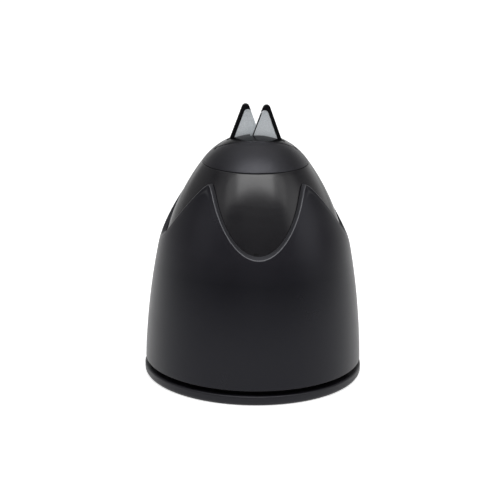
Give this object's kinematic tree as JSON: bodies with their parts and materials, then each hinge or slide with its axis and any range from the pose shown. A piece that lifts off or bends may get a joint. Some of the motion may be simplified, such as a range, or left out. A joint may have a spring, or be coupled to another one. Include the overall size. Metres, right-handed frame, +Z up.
{
  "type": "knife sharpener",
  "caption": "Dome-shaped table-top knife sharpener: suction pad, scalloped sleeve that turns to lock it, and two sprung abrasive arms that cross in a V.",
  "frame": {"origin": "centre of the suction pad's underside, on the table", "axes": "+Z up through the dome's axis, -Y to the front, +X to the right, along the row of the two arms"},
  "size_m": [0.0904, 0.0904, 0.1134],
  "materials": {
    "pad_rubber": "matte",
    "base_plastic": "matte",
    "frame_plastic": "satin",
    "body_gloss": "gloss",
    "sleeve_satin": "satin",
    "cap_matte": "matte",
    "insert_matte": "satin",
    "holder_black": "satin",
    "abrasive_plate": "matte",
    "bracket_steel": "satin",
    "steel": "satin",
    "spring_steel": "satin",
    "spacer_plastic": "satin"
  },
  "bodies": {
    "body": {"suction_pad": "pad_rubber", "base_plate": "base_plastic", "center_column": "frame_plastic", "column_screws": "steel", "inner_body": "body_gloss", "body_screws": "steel", "top_cap": "cap_matte", "cap_screws": "steel", "slot_insert": "insert_matte", "arm_bracket": "bracket_steel", "bracket_screws": "steel", "left_pivot_pin": "steel", "right_pivot_pin": "steel", "pivot_clips": "spring_steel", "pin_spacers": "spacer_plastic", "left_arm_spring": "spring_steel", "right_arm_spring": "spring_steel", "stem_spring": "spring_steel"},
    "sleeve": {"outer_sleeve": "sleeve_satin", "cam_ring": "frame_plastic", "sleeve_screws": "steel"},
    "stem": {"suction_stem": "frame_plastic", "pad_insert": "steel", "cross_pin": "steel", "stem_clip": "spring_steel"},
    "left_arm": {"left_arm": "holder_black", "left_plate": "abrasive_plate"},
    "right_arm": {"right_arm": "holder_black", "right_plate": "abrasive_plate"}
  },
  "joints": [
    {"name": "sleeve_turn", "type": "hinge", "parent": "body", "child": "sleeve", "pos_m": [0, 0, 0.009], "axis": [0, 0, -1], "range_deg": [0, 90]},
    {"name": "stem_lift", "type": "slide", "parent": "body", "child": "stem", "axis": [0, 0, 1], "range_m": [0, 0.0035], "deforming": ["stem_spring"]},
    {"name": "left_arm_swing", "type": "hinge", "parent": "body", "child": "left_arm", "pos_m": [-0.005, 0, 0.0904], "axis": [0, -1, 0], "range_deg": [0, 6], "stiffness_Nm_per_rad": 0.2, "springref_deg": -17.19, "deforming": ["left_arm_spring"]},
    {"name": "right_arm_swing", "type": "hinge", "parent": "body", "child": "right_arm", "pos_m": [0.005, 0, 0.0904], "axis": [0, 1, 0], "range_deg": [0, 6], "stiffness_Nm_per_rad": 0.2, "springref_deg": -17.19, "deforming": ["right_arm_spring"]}
  ],
  "couplings": [
    {"joint": "stem_lift", "follows": "sleeve_turn", "m_per_rad": 0.002228}
  ]
}
